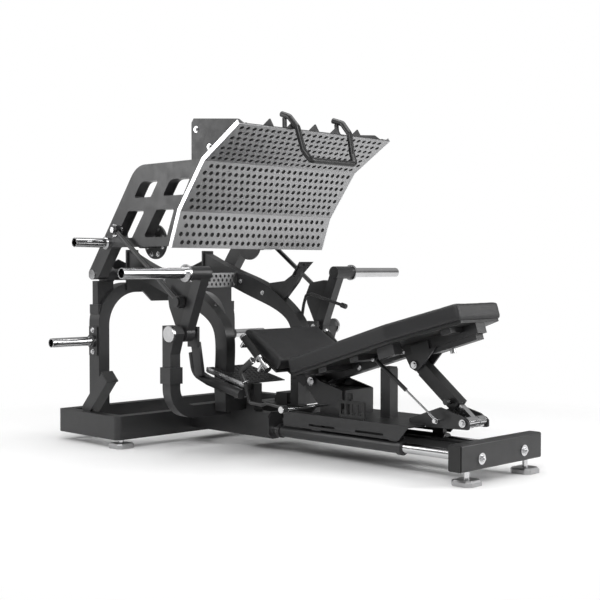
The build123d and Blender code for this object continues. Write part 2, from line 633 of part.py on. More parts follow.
cross_tubes = []
for tube_x, tube_z, size in ((-455, 1060, 22), (-395, 1196, 22), (-285, 1346, 22)):
    cross_tubes.append(block(tube_x - size, tube_x + size, -ARM_IN, ARM_IN, tube_z - size, tube_z + size))
tube_group = cross_tubes[0] + cross_tubes[1] + cross_tubes[2]
for rib in ribs:
    tube_group = tube_group - rib

WING_POINTS = [(-300, 1388), (-300, 1562), (-284, 1581), (22, 1553), (64, 1526)]
wing_back = profile_offset(PLATE_SHEET + 6)
wings = both(side_slab(WING_POINTS + [wing_back[0], (wing_back[1][0] - 4, 1388)], ARM_Y + 10, ARM_Y + 22))
write("plate_wings", wings)
wing_bolts = []
for bolt_x, bolt_z in ((-265, 1528), (-170, 1440)):
    for side in (-1, 1):
        wing_bolts.append(hex_bolt((bolt_x, side * (ARM_Y + 22), bolt_z), (0, side, 0), 11, 15))

HANDLE_R = 14.0
handle_path = [(6, -175, 1602), (62, -182, 1584), (112, -178, 1530), (140, -168, 1425), (172, -152, 1377),
               (172, 152, 1377), (140, 168, 1425), (112, 178, 1530), (62, 182, 1584), (6, 175, 1602)]
grab = bent_rod(handle_path, HANDLE_R, 24)
handle_posts = []
for side in (-1, 1):
    handle_posts.append(rod((26, side * 178, 1582), (32, side * 182, 1502), 11))
handle_posts = [post_part - grab - foot_plate - backing for post_part in handle_posts]
handle_posts = [max(item.solids(), key=lambda piece: piece.volume) for item in handle_posts]
write("top_handle", grab, handle_posts)

FLANGE_X, FLANGE_Z, FLANGE_Y = -760.0, 1012.0, 330.0
flanges, flange_bolts, flange_tubes = [], [], []
for side in (-1, 1):
    out, mid = side * FLANGE_Y, side * (FLANGE_Y - 12)
    flanges.append(cross_rod(FLANGE_X, FLANGE_Z, min(out, mid), max(out, mid), 88))
    tube_ends = (side * FLANGE_Y, side * ARM_IN)
    flange_tubes.append(cross_rod(FLANGE_X, FLANGE_Z, min(tube_ends), max(tube_ends), 34))
    for index in range(8):
        angle = radians(22.5 + 45 * index)
        point = (FLANGE_X + 68 * cos(angle), out, FLANGE_Z + 68 * sin(angle))
        flange_bolts.append(hex_bolt(point, (0, side, 0), 10, 14))
write("plate_frame", ribs, tube_group, flanges, flange_tubes)

UPPER_PEG = (-960.0, 1007.0)
upper_pegs, upper_collars = [], []
for side in (-1, 1):
    root, end = side * ARM_OUT, side * 680
    collar_end = side * (ARM_OUT + 14)
    upper_pegs.append(pipe((UPPER_PEG[0], collar_end, UPPER_PEG[1]), (UPPER_PEG[0], end, UPPER_PEG[1]),
                           PEG_R, PEG_R - SLEEVE_WALL))
    upper_collars.append(rod((UPPER_PEG[0], root, UPPER_PEG[1]), (UPPER_PEG[0], collar_end, UPPER_PEG[1]),
                             PEG_R + 8))
write("upper_storage_pegs", upper_pegs, upper_collars)

link_pivots = []
for side in (-1, 1):
    boss = (side * ARM_OUT, side * (LINK_Y - LINK_EYE / 2 - SIDE_GAP))
    pin = (side * ARM_OUT, side * (LINK_Y + LINK_EYE / 2 + 10))
    head = (side * (LINK_Y + LINK_EYE / 2 + SIDE_GAP), side * (LINK_Y + LINK_EYE / 2 + 10))
    shape = cross_rod(LINK_TOP[0], LINK_TOP[1], min(boss), max(boss), 24)
    shape = shape + cross_rod(LINK_TOP[0], LINK_TOP[1], min(pin), max(pin), LINK_PIN_R)
    shape = shape + cross_rod(LINK_TOP[0], LINK_TOP[1], min(head), max(head), 15)
    lug = side_slab([(-905, 1032), (-858, 1046), (-840, 1066), (-846, 1092), (-905, 1100)],
                    ARM_OUT, ARM_OUT + 6)
    lug = lug if side > 0 else mirror(lug, about=Plane.XZ)
    link_pivots.append(shape + lug)
write("press_arm_fittings", shaft_caps, wing_bolts, flange_bolts, link_pivots)


# ---------------------------------------------------------------- weight levers and links
LINK_FLOAT = 4.8            # extra bore in the lower eye, for the arc of the lever


def lever():
    """Weight lever: hub, square arm and the plate that takes the link."""
    y0, y1 = LEVER_Y - LEVER_WIDTH / 2, LEVER_Y + LEVER_WIDTH / 2
    hub = cross_rod(LEVER_X, LEVER_Z, y0, y1, 40)
    arm = bar((LEVER_X, LEVER_Z), (HORN_X, HORN_Z), 58, y0, y1)
    ear = side_slab([(LEVER_X - 34, LEVER_Z), (LEVER_X - 62, 620), (-452, 690), (-462, 738), (-430, 800),
                     (-330, 815), (-250, 800), (LEVER_X + 30, LEVER_Z)], LEVER_Y - 4, y1 - 4, 14)
    shape = hub + arm + ear
    return shape - cross_rod(LEVER_X, LEVER_Z, y0 - 1, y1 + 1, LEVER_SHAFT_R + RUNNING_CLEARANCE)


HOLDER_R = 33.0
HOLDER_IN = 432.0
levers = both(lever())
holders = both(cross_rod(HORN_X, HORN_Z, HOLDER_IN, HORN_FLANGE_Y - 8, HOLDER_R))
horn_flanges = both(cross_rod(HORN_X, HORN_Z, HORN_FLANGE_Y - 8, HORN_FLANGE_Y + 4, 41))
sleeves = both(cross_rod(HORN_X, HORN_Z, HORN_FLANGE_Y + 4, HORN_END_Y, SLEEVE_R)
               - cross_rod(HORN_X, HORN_Z, HORN_FLANGE_Y + 60, HORN_END_Y + 1, SLEEVE_R - SLEEVE_WALL))
link_pins = []
for side in (-1, 1):
    ends = (side * (LEVER_Y + LEVER_WIDTH / 2 - 4), side * (LINK_Y + LINK_EYE / 2 + 10))
    head = (side * (LINK_Y + LINK_EYE / 2 + SIDE_GAP), side * (LINK_Y + LINK_EYE / 2 + 10))
    shape = cross_rod(LINK_LOW[0], LINK_LOW[1], min(ends), max(ends), LINK_PIN_R)
    link_pins.append(shape + cross_rod(LINK_LOW[0], LINK_LOW[1], min(head), max(head), 24))
for index, name, side in ((1, "left", 0), (0, "right", 1)):
    write(f"{name}_lever", levers[index] - holders[index], holders[index], link_pins[side])
    write(f"{name}_weight_sleeve", sleeves[index], horn_flanges[index])


def link():
    """Link rod with an eye at each end; the lower eye floats on its pin."""
    y0, y1 = LINK_Y - LINK_EYE / 2, LINK_Y + LINK_EYE / 2
    shape = rod((LINK_TOP[0], LINK_Y, LINK_TOP[1]), (LINK_LOW[0], LINK_Y, LINK_LOW[1]), LINK_R)
    shape = shape + cross_rod(LINK_TOP[0], LINK_TOP[1], y0, y1, 24)
    shape = shape + cross_rod(LINK_LOW[0], LINK_LOW[1], y0, y1, 30)
    shape = shape - cross_rod(LINK_TOP[0], LINK_TOP[1], y0 - 1, y1 + 1, LINK_PIN_R + RUNNING_CLEARANCE)
    return shape - cross_rod(LINK_LOW[0], LINK_LOW[1], y0 - 1, y1 + 1, LINK_PIN_R + LINK_FLOAT)


links = both(link())
write("left_link", links[1])
write("right_link", links[0])


# ---------------------------------------------------------------- seat carriage
DECK_Z = (196.0, 204.0)
SKIRT_IN = RAIL_Y + BEARING_TUBE_R
SKIRT_OUT = SKIRT_IN + 4
bearing_tubes = both(pipe((BEARING_TUBE_X[0], RAIL_Y, RAIL_Z), (BEARING_TUBE_X[1], RAIL_Y, RAIL_Z),
                          BEARING_TUBE_R, RAIL_R + RUNNING_CLEARANCE))
collars = []
for x0, x1 in ((BEARING_TUBE_X[0], BEARING_TUBE_X[0] + 16), (BEARING_TUBE_X[1] - 22, BEARING_TUBE_X[1])):
    collars += both(pipe((x0, RAIL_Y, RAIL_Z), (x1, RAIL_Y, RAIL_Z), BEARING_TUBE_R + 6, BEARING_TUBE_R))
write("bearing_tubes", bearing_tubes, collars)

skirt = side_slab([(24, 138), (728, 138), (787, DECK_Z[1]), (24, DECK_Z[1])], SKIRT_IN, SKIRT_OUT)
for slot_x in (190, 478):
    skirt = skirt - side_slab([(slot_x, 150), (slot_x + 165, 150), (slot_x + 165, 160), (slot_x, 160)],
                              SKIRT_IN - 1, SKIRT_OUT + 1, 4)
write("carriage_skirts", both(skirt))

deck = plan_slab([(165, -SKIRT_IN), (787, -SKIRT_IN), (787, SKIRT_IN), (165, SKIRT_IN)], DECK_Z[0], DECK_Z[1])
for item in both(block(60, 165, RAIL_Y - 22, SKIRT_IN, DECK_Z[0], DECK_Z[1])):
    deck = deck + item
for x0 in (190, 660):
    for item in both(block(x0, x0 + 60, RAIL_Y - 14, RAIL_Y + 14, RAIL_Z + 12, DECK_Z[0])):
        deck = deck + item
for item in both(rod((BEARING_TUBE_X[0], RAIL_Y, RAIL_Z), (BEARING_TUBE_X[1], RAIL_Y, RAIL_Z), BEARING_TUBE_R)):
    deck = deck - item
for item in collars:
    deck = deck - item
deck = max(deck.solids(), key=lambda piece: piece.volume)

tower = block(180, 340, -96, 96, DECK_Z[1], 318)
ears = both(side_slab([(104, 318), (118, 364), (150, 372), (190, 352), (330, 318), (330, 230), (190, 230)],
                      96, 108, 8))
ears = [item - cross_rod(BACK_HINGE[0], BACK_HINGE[1], -130, 130, HINGE_PIN_R) for item in ears]
hinge_pin = cross_rod(BACK_HINGE[0], BACK_HINGE[1], -120, 120, HINGE_PIN_R)
hinge_nuts = [hex_bolt((BACK_HINGE[0], side * 120, BACK_HINGE[1]), (0, side, 0), 15, 20) for side in (-1, 1)]

rest_post = block(492, 548, -28, 28, DECK_Z[1], 426)
rest_pad = block(494, 546, -26, 26, 426, 434)

brackets = both(side_slab([(698, DECK_Z[1]), (698, 222), (866, 284), (976, 256), (1017, 232), (1017, 200),
                           (820, 194), (787, 194), (787, DECK_Z[1])], 64, 74, 8))
brackets = [item - cross_rod(PROP_LOW[0], PROP_LOW[1], -80, 80, HINGE_PIN_R) for item in brackets]
tie_bar = cross_rod(850, 224, -64, 64, 9)
prop_low_pin = cross_rod(PROP_LOW[0], PROP_LOW[1], -80, 80, HINGE_PIN_R)
low_nuts = [hex_bolt((PROP_LOW[0], side * 80, PROP_LOW[1]), (0, side, 0), 13, 17) for side in (-1, 1)]

seat_line_angle = degrees(atan2(SEAT_FRONT[1] - SEAT_CREASE[1], SEAT_CREASE[0] - SEAT_FRONT[0]))
seat_length = hypot(SEAT_CREASE[0] - SEAT_FRONT[0], SEAT_CREASE[1] - SEAT_FRONT[1])
SEAT_AT = Pos(SEAT_FRONT[0], 0, SEAT_FRONT[1]) * Rot(0, seat_line_angle, 0)
pad = block(0, seat_length - 4, -SEAT_HALF_WIDTH, SEAT_HALF_WIDTH, -SEAT_THICKNESS, 0)
pad = fillet(pad.edges(), 11)
write("seat_pad", SEAT_AT * pad)
board = SEAT_AT * block(8, seat_length - 12, -SEAT_HALF_WIDTH + 14, SEAT_HALF_WIDTH - 14,
                        -SEAT_THICKNESS - 12.4, -SEAT_THICKNESS - 0.4)
write("seat_board", board)
rails = []
for item in both(SEAT_AT * block(40, seat_length + 62, 60, 96, -SEAT_THICKNESS - 52, -SEAT_THICKNESS - 12.4)):
    cut = item - block(100, 400, -200, 200, 200, 318) - ears[0] - ears[1]
    cut = cut - cross_rod(BACK_HINGE[0], BACK_HINGE[1], -130, 130, 34)
    rails.append(max(cut.solids(), key=lambda piece: piece.volume))
seat_core = SEAT_AT * block(-1, seat_length, -SEAT_HALF_WIDTH - 0.5, SEAT_HALF_WIDTH + 0.5, -SEAT_THICKNESS - 0.4, 1)
struts = []
for item in both(bar((-20, 420), (196, 262), 34, 62, 94)):
    cut = item - rails[0] - rails[1] - tower - seat_core - board - cross_rod(BACK_HINGE[0], BACK_HINGE[1], -130, 130, 34)
    struts.append(max(cut.solids(), key=lambda piece: piece.volume))
write("carriage_deck", deck, tower, rest_post, brackets, tie_bar)
write("seat_frame", ears, rails, struts)

GRIP_Y = 284.0
grip_top, grip_low = (-152.0, 560.0), (22.0, 404.0)
grip_bars = both(rod((grip_top[0], GRIP_Y, grip_top[1]), (grip_low[0], GRIP_Y, grip_low[1]), 9))
grips, grip_rings, grip_stays = [], [], []
grip_len = hypot(grip_low[0] - grip_top[0], grip_low[1] - grip_top[1])
for side in (-1, 1):
    def spot(distance):
        x, z = along(grip_top, grip_low, distance)
        return (x, side * GRIP_Y, z)
    grips.append(pipe(spot(20), spot(150), 17, 9))
    grip_rings.append(pipe(spot(6), spot(19), 19, 9))
    grip_rings.append(pipe(spot(151), spot(164), 19, 9))
    grip_rings.append(pipe(spot(grip_len - 22), spot(grip_len), 20, 9))
    for distance in (30.0, 190.0):
        x, z = along(grip_top, grip_low, distance, -46)
        inner = (x, side * (SEAT_HALF_WIDTH - 20), z)
        mid = (x, side * (GRIP_Y), z)
        stay_top = along(grip_top, grip_low, distance)
        stay = rod(inner, mid, 7) + rod(mid, (stay_top[0], side * GRIP_Y, stay_top[1]), 7)
        grip_stays.append(stay)
write("seat_grips", grips)
clean_stays = []
for stay in grip_stays:
    cut = stay - seat_core - board
    for item in grip_bars + grips:
        cut = cut - item
    clean_stays.append(max(cut.solids(), key=lambda piece: piece.volume))

# seat lock: comb on the deck and a sprung knob
comb = block(368, 520, -168, -160, DECK_Z[1], 284)
for finger in range(4):
    x0 = 378 + finger * 34
    comb = comb - block(x0, x0 + 22, -170, -158, 222, 270)
lock_knob = rod((411, -140, DECK_Z[1]), (411, -140, 300), 7) + rod((411, -140, 286), (411, -140, 312), 13)
lock_post = pipe((411, -140, DECK_Z[1]), (411, -140, DECK_Z[1] + 62), 12, 7)
write("seat_lock", comb, lock_knob, lock_post, rest_pad)

# release lever on the seat's left side
RELEASE_X, RELEASE_Z, RELEASE_Y = 232.0, 247.0, -385.0
RELEASE_PIN_R = 8.0
release_path = [(-22, RELEASE_Y, 352), (-8, RELEASE_Y, 300), (6, RELEASE_Y, 260), (92, RELEASE_Y, 256),
                (121, RELEASE_Y, 266), (222, RELEASE_Y, 256)]
release = bent_rod(release_path, 8, 16)
release = release + cross_rod(RELEASE_X, RELEASE_Z, RELEASE_Y - 12, RELEASE_Y + 12, 19)
release = release - cross_rod(RELEASE_X, RELEASE_Z, RELEASE_Y - 20, RELEASE_Y + 20,
                              RELEASE_PIN_R + RUNNING_CLEARANCE)
loop = bent_rod([(30, RELEASE_Y, 458), (-54, RELEASE_Y, 400), (-21, RELEASE_Y, 350)], 15, 22)
write("release_lever", release - loop, loop)
gas_pin = cross_rod(GAS_LOW[0], GAS_LOW[1], -GAS_Y - 14, -74, 5)
gas_pin = gas_pin + cross_rod(GAS_LOW[0], GAS_LOW[1], -GAS_Y - 20, -GAS_Y - 11, 9)
release_shaft = cross_rod(RELEASE_X, RELEASE_Z, RELEASE_Y - 20, -108, RELEASE_PIN_R)
release_shaft = release_shaft + cross_rod(RELEASE_X, RELEASE_Z, RELEASE_Y - 20, RELEASE_Y - 14, 15)
release_shaft = release_shaft + cross_rod(RELEASE_X, RELEASE_Z, -372, -366, 15)
write("carriage_hardware", grip_bars, grip_rings, clean_stays, hinge_pin, hinge_nuts, prop_low_pin, low_nuts,
      release_shaft, gas_pin)


# ---------------------------------------------------------------- back rest
back_angle = degrees(atan2(BACK_TOP[1] - SEAT_CREASE[1], BACK_TOP[0] - SEAT_CREASE[0]))
back_length = hypot(BACK_TOP[0] - SEAT_CREASE[0], BACK_TOP[1] - SEAT_CREASE[1])
BACK_AT = Pos(SEAT_CREASE[0], 0, SEAT_CREASE[1]) * Rot(0, -back_angle, 0)
pad_plan = [(PAD_GAP, -BACK_HALF_WIDTH), (SHOULDER, -BACK_HALF_WIDTH), (back_length, -HEAD_HALF_WIDTH),
            (back_length, HEAD_HALF_WIDTH), (SHOULDER, BACK_HALF_WIDTH), (PAD_GAP, BACK_HALF_WIDTH)]
back_pad = plan_slab(pad_plan, -BACK_THICKNESS, 0, 14)
back_pad = fillet(back_pad.edges().group_by(Axis.Z)[-1] + back_pad.edges().group_by(Axis.Z)[0], 9)
write("back_pad", BACK_AT * back_pad)
back_board_plan = [(PAD_GAP + 14, -BACK_HALF_WIDTH + 18), (SHOULDER - 6, -BACK_HALF_WIDTH + 18),
                   (back_length - 16, -HEAD_HALF_WIDTH + 16), (back_length - 16, HEAD_HALF_WIDTH - 16),
                   (SHOULDER - 6, BACK_HALF_WIDTH - 18), (PAD_GAP + 14, BACK_HALF_WIDTH - 18)]
back_board = BACK_AT * plan_slab(back_board_plan, -BACK_THICKNESS - 12.4, -BACK_THICKNESS - 0.4)
write("back_board", back_board)
UNDER = -BACK_THICKNESS - 12.4
back_beam = BACK_AT * block(96, back_length - 18, -32, 32, UNDER - 46, UNDER)
hinge_tube = cross_rod(BACK_HINGE[0], BACK_HINGE[1], -94, 94, 24)
hinge_link = side_slab([(120, 335), (150, 330), (250, 388), (230, 420), (150, 392), (118, 366)], -32, 32)
back_frame = back_beam + hinge_tube + hinge_link - back_board
back_frame = back_frame - cross_rod(BACK_HINGE[0], BACK_HINGE[1], -130, 130, HINGE_PIN_R + RUNNING_CLEARANCE)
back_frame = max(back_frame.solids(), key=lambda piece: piece.volume)
crossbars = []
for distance, half in ((180, 205), (380, 205), (840, 120)):
    item = BACK_AT * block(distance, distance + 50, -half, half, UNDER - 22, UNDER)
    crossbars.append(item - back_beam)
channel = BACK_AT * block(690, back_length - 36, -26, 26, UNDER - 70, UNDER - 46)
channel_knob = BACK_AT * rod((790, 0, UNDER - 92), (790, 0, UNDER - 70), 12)
side_bumpers = []
for item in both(BACK_AT * block(545, 640, 150, 205, UNDER - 48, UNDER)):
    side_bumpers.append(item)
bolt_rings = []
for distance in (270, 540):
    spot_point = BACK_AT * Pos(distance, -32, UNDER - 23)
    bolt_rings.append(hex_bolt(tuple(spot_point.position), (0, -1, 0), 11, 15))

ear_points = [along(SEAT_CREASE, BACK_TOP, 560, UNDER - 46), along(SEAT_CREASE, BACK_TOP, 740, UNDER - 46),
              (PROP_TOP[0] + 30, PROP_TOP[1] - 12), (PROP_TOP[0] + 4, PROP_TOP[1] - 28),
              (PROP_TOP[0] - 26, PROP_TOP[1] - 14)]
prop_ears = both(side_slab(ear_points, 33, 42))
prop_ears = [item - cross_rod(PROP_TOP[0], PROP_TOP[1], -60, 60, HINGE_PIN_R) for item in prop_ears]
ear_ties = both(BACK_AT * block(600, 700, 32, 42, UNDER - 60, UNDER - 10))
prop_ears = [ear + tie for ear, tie in zip(prop_ears, ear_ties)]
prop_ears = [item - channel - back_beam for item in prop_ears]
prop_ears = [max(item.solids(), key=lambda piece: piece.volume) for item in prop_ears]
prop_top_pin = cross_rod(PROP_TOP[0], PROP_TOP[1], -50, 50, HINGE_PIN_R)
top_nuts = [hex_bolt((PROP_TOP[0], side * 50, PROP_TOP[1]), (0, side, 0), 12, 16) for side in (-1, 1)]


# ---------------------------------------------------------------- telescopic prop
PROP_FLOAT = 6.0            # extra bore at the prop's top eye, for the arc of the back rest
prop_length = hypot(PROP_TOP[0] - PROP_LOW[0], PROP_TOP[1] - PROP_LOW[1])
TUBE_END = 270.0
tube_low = along(PROP_TOP, PROP_LOW, TUBE_END)
tube_far = along(PROP_TOP, PROP_LOW, 34)
prop_tube = bar(tube_far, tube_low, PROP_WIDTH, -28, 28) + cross_rod(PROP_TOP[0], PROP_TOP[1], -28, 28, 29)
neck = bar(PROP_TOP, along(PROP_TOP, PROP_LOW, 60), 50, -28, 28)
prop_tube = prop_tube + neck
bore_from, bore_to = along(PROP_TOP, PROP_LOW, 48), along(PROP_TOP, PROP_LOW, TUBE_END + 2)
prop_tube = prop_tube - bar(bore_from, bore_to, PROP_BAR + 1.2, -15.6, 15.6)
prop_tube = prop_tube - cross_rod(PROP_TOP[0], PROP_TOP[1], -30, 30, HINGE_PIN_R + PROP_FLOAT)
bar_from = along(PROP_TOP, PROP_LOW, 70)
prop_bar = bar(bar_from, PROP_LOW, PROP_BAR, -15, 15) + cross_rod(PROP_LOW[0], PROP_LOW[1], -15, 15, 22)
prop_bar = prop_bar - cross_rod(PROP_LOW[0], PROP_LOW[1], -20, 20, HINGE_PIN_R + RUNNING_CLEARANCE)
for index in range(4):
    hole = along(PROP_TOP, PROP_LOW, 292 + index * 18)
    prop_bar = prop_bar - cross_rod(hole[0], hole[1], -16, 16, 4)
rollers = both(pipe((PROP_LOW[0], 17, PROP_LOW[1]), (PROP_LOW[0], 62, PROP_LOW[1]), 24,
                    HINGE_PIN_R + RUNNING_CLEARANCE))
write("prop_bar", prop_bar, rollers)
pin_at = along(PROP_TOP, PROP_LOW, 236)
pull_pin = cross_rod(pin_at[0], pin_at[1], -58, -17, 5) + cross_rod(pin_at[0], pin_at[1], -66, -48, 13)
pin_socket = cross_rod(pin_at[0], pin_at[1], -40, -28, 12)
write("prop_tube", prop_tube + pull_pin + pin_socket)


# ---------------------------------------------------------------- gas spring
gas_length = hypot(GAS_TOP[0] - GAS_LOW[0], GAS_TOP[1] - GAS_LOW[1])


def gas_point(distance):
    x, z = along(GAS_TOP, GAS_LOW, distance)
    return (x, -GAS_Y, z)


GAS_BODY_END = 215.0
GAS_FLOAT = 3.2
gas_body = rod(gas_point(0), gas_point(GAS_BODY_END), GAS_BODY_R) + cross_rod(GAS_TOP[0], GAS_TOP[1], -GAS_Y - 9,
                                                                           -GAS_Y + 9, 13)
gas_body = gas_body - rod(gas_point(60), gas_point(GAS_BODY_END + 1), GAS_ROD_R + RUNNING_CLEARANCE)
gas_body = gas_body - cross_rod(GAS_TOP[0], GAS_TOP[1], -GAS_Y - 20, -GAS_Y + 20, 5 + GAS_FLOAT)
write("gas_cylinder", gas_body)
gas_rod_part = rod(gas_point(90), gas_point(gas_length - 30), GAS_ROD_R)
gas_end = rod(gas_point(gas_length - 46), gas_point(gas_length - 4), 8) + cross_rod(
    GAS_LOW[0], GAS_LOW[1], -GAS_Y - 9, -GAS_Y + 9, 12)
gas_end = gas_end - cross_rod(GAS_LOW[0], GAS_LOW[1], -GAS_Y - 20, -GAS_Y + 20, 5 + RUNNING_CLEARANCE)
gas_end = gas_end - rod(gas_point(90), gas_point(gas_length - 30), GAS_ROD_R)
write("gas_rod", gas_rod_part + gas_end)
gas_stud = cross_rod(GAS_TOP[0], GAS_TOP[1], -GAS_Y - 14, -32, 5) + cross_rod(GAS_TOP[0], GAS_TOP[1],
                                                                          -GAS_Y - 20, -GAS_Y - 11, 9)
write("back_frame", back_frame, crossbars, channel, side_bumpers, prop_ears)
write("back_hardware", channel_knob, bolt_rings, prop_top_pin, top_nuts, gas_stud - back_frame)
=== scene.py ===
import bpy
import bmesh
import json
from math import radians, cos, sin, pi
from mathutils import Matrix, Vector


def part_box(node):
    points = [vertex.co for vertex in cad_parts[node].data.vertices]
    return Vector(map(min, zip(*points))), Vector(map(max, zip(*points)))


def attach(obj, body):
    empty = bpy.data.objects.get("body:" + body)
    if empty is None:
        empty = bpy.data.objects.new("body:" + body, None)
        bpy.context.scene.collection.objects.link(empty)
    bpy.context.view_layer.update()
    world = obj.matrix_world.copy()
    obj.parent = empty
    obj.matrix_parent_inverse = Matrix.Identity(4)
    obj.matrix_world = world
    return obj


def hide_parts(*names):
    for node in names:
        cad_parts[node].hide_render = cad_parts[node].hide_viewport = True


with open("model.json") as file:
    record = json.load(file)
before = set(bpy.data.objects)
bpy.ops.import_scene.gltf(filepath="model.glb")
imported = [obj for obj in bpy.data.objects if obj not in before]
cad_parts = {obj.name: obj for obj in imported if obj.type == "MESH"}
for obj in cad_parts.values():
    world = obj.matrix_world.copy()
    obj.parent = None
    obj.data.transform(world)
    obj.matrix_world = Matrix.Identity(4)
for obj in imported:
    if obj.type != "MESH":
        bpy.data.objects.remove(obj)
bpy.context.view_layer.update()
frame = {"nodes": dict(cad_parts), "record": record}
nodes = frame["nodes"]

# Pads: voxel size of the remesh, the shrink that makes room for it, and the cloth run.
PAD_VOXEL = 0.007
PAD_SHRINK = 0.994
PAD_CAP = 0.004
PAD_PRESSURE = 4.0
PAD_FRAMES = 20

# Ribs round the seat grips, from the top of a grip down towards its low end.
GRIP_TOP = (-0.152, 0, 0.560)
GRIP_END = (0.022, 0, 0.404)
GRIP_SIDE = 0.284
RIB_COUNT = 18
RIB_START = 0.026
RIB_STEP = 0.007
RIB_RADIUS = 0.0168
RIB_WIRE = 0.0013

# Chrome rings at both ends of the release grip.
RELEASE_RING_RADIUS = 0.0142
RELEASE_RING_WIRE = 0.0022

# The floor turns into plain white between these two distances from the origin.
FLOOR_REACH = 60.0
FLOOR_HEIGHT = -0.0005
FADE_START = 1.2
FADE_END = 2.6

CAMERA_PLACE = (3.924, -4.002, 0.877)
CAMERA_LENS = 69.63
CAMERA_TURN = 45.212
CAMERA_PITCH = 1.559

WHITE = (1, 1, 1, 1)
# Paler dark grey that the powder coat takes on along sharp convex edges.
PALE_EDGE_COAT = (0.05, 0.05, 0.052, 1)


# ---------------------------------------------------------------- materials
def new_material(name):
    """Material with a Principled shader, its node tree and object coordinates."""
    material = bpy.data.materials.new(name)
    material.use_nodes = True
    tree = material.node_tree
    shader = tree.nodes["Principled BSDF"]
    coords = tree.nodes.new("ShaderNodeTexCoord")
    return material, tree, shader, coords


def noise(tree, coords, scale, detail=4.0, stretch=None):
    """Noise texture in object space, stretched along the axes if asked."""
    texture = tree.nodes.new("ShaderNodeTexNoise")
    texture.inputs["Scale"].default_value = scale
    texture.inputs["Detail"].default_value = detail
    if stretch:
        mapping = tree.nodes.new("ShaderNodeMapping")
        mapping.inputs["Scale"].default_value = stretch
        tree.links.new(coords.outputs["Object"], mapping.inputs["Vector"])
        tree.links.new(mapping.outputs["Vector"], texture.inputs["Vector"])
    else:
        tree.links.new(coords.outputs["Object"], texture.inputs["Vector"])
    return texture


def colour(value):
    """A colour as it is, or a grey from one number."""
    if isinstance(value, tuple):
        return value
    return (value, value, value, 1)


def tinted(grey, level, blue):
    """Grey at one level, with its blue channel at another."""
    return (grey * level, grey * level, grey * blue, 1)


def ramp(tree, source, low, high, start=0.3, end=0.7):
    """Colour ramp between two colours or grey values."""
    node = tree.nodes.new("ShaderNodeValToRGB")
    node.color_ramp.elements[0].position = start
    node.color_ramp.elements[1].position = end
    node.color_ramp.elements[0].color = colour(low)
    node.color_ramp.elements[1].color = colour(high)
    tree.links.new(source, node.inputs["Fac"])
    return node


def drive(tree, shader, socket, texture, low, high):
    """A noise texture, through a ramp, into one socket of the shader."""
    mapped = ramp(tree, texture.outputs["Fac"], low, high)
    tree.links.new(mapped.outputs["Color"], shader.inputs[socket])


def add_bump(tree, shader, height, strength, distance):
    """Bump from a height socket."""
    bump = tree.nodes.new("ShaderNodeBump")
    bump.inputs["Strength"].default_value = strength
    bump.inputs["Distance"].default_value = distance
    tree.links.new(height, bump.inputs["Height"])
    tree.links.new(bump.outputs["Normal"], shader.inputs["Normal"])


def powder_coat(name, grey, rough):
    """Fine-grained satin powder coat, paler along sharp convex edges."""
    material, tree, shader, coords = new_material(name)
    cloud = noise(tree, coords, scale=7.0)
    dark = tinted(grey, 0.85, 0.88)
    light = tinted(grey, 1.2, 1.24)
    base = ramp(tree, cloud.outputs["Fac"], dark, light)
    # Sharp convex edges, found by the pointiness of the mesh, are mixed towards a paler dark grey.
    edge = tree.nodes.new("ShaderNodeNewGeometry")
    edge_share = ramp(tree, edge.outputs["Pointiness"], 0.0, 0.35, start=0.53, end=0.62)
    mix = tree.nodes.new("ShaderNodeMixRGB")
    mix.inputs["Color2"].default_value = PALE_EDGE_COAT
    tree.links.new(edge_share.outputs["Color"], mix.inputs["Fac"])
    tree.links.new(base.outputs["Color"], mix.inputs["Color1"])
    tree.links.new(mix.outputs["Color"], shader.inputs["Base Color"])
    patch = noise(tree, coords, scale=22.0)
    drive(tree, shader, "Roughness", patch, rough - 0.05, rough + 0.07)
    grain = noise(tree, coords, scale=1400.0, detail=2.0)
    add_bump(tree, shader, grain.outputs["Fac"], strength=0.18, distance=0.0006)
    shader.inputs["Specular IOR Level"].default_value = 0.5
    return material


def metal(name, grey, low, high, scale, stretch=None, bump=0.05):
    """Metal with smudged or brushed gloss, its roughness between low and high."""
    material, tree, shader, coords = new_material(name)
    shader.inputs["Metallic"].default_value = 1.0
    cloud = noise(tree, coords, scale=9.0)
    drive(tree, shader, "Base Color", cloud, tinted(grey, 0.93, 0.94), tinted(grey, 1.0, 1.01))
    brush = noise(tree, coords, scale, detail=6.0, stretch=stretch)
    drive(tree, shader, "Roughness", brush, low, high)
    add_bump(tree, shader, brush.outputs["Fac"], strength=bump, distance=0.0004)
    return material


def moulded(name, grey, rough, scale):
    """Moulded plastic or rubber with a fine texture."""
    material, tree, shader, coords = new_material(name)
    cloud = noise(tree, coords, scale=12.0)
    drive(tree, shader, "Base Color", cloud, grey * 0.85, grey * 1.15)
    drive(tree, shader, "Roughness", cloud, rough - 0.06, rough + 0.06)
    grain = noise(tree, coords, scale, detail=3.0)
    add_bump(tree, shader, grain.outputs["Fac"], strength=0.25, distance=0.0006)
    return material


def vinyl():
    """Black upholstery vinyl: cell grain, soft creases and a light sheen."""
    material, tree, shader, coords = new_material("upholstery_vinyl")
    cloud = noise(tree, coords, scale=6.0)
    drive(tree, shader, "Base Color", cloud, (0.004, 0.004, 0.0045, 1), (0.008, 0.008, 0.009, 1))
    drive(tree, shader, "Roughness", cloud, 0.42, 0.56)
    cells = tree.nodes.new("ShaderNodeTexVoronoi")
    cells.inputs["Scale"].default_value = 620.0
    tree.links.new(coords.outputs["Object"], cells.inputs["Vector"])
    crease = noise(tree, coords, scale=14.0, detail=3.0)
    relief = tree.nodes.new("ShaderNodeMath")
    relief.operation = "MULTIPLY_ADD"
    relief.inputs[1].default_value = 2.5
    tree.links.new(crease.outputs["Fac"], relief.inputs[0])
    tree.links.new(cells.outputs["Distance"], relief.inputs[2])
    add_bump(tree, shader, relief.outputs["Value"], strength=0.3, distance=0.0009)
    shader.inputs["Sheen Weight"].default_value = 0.02
    return material


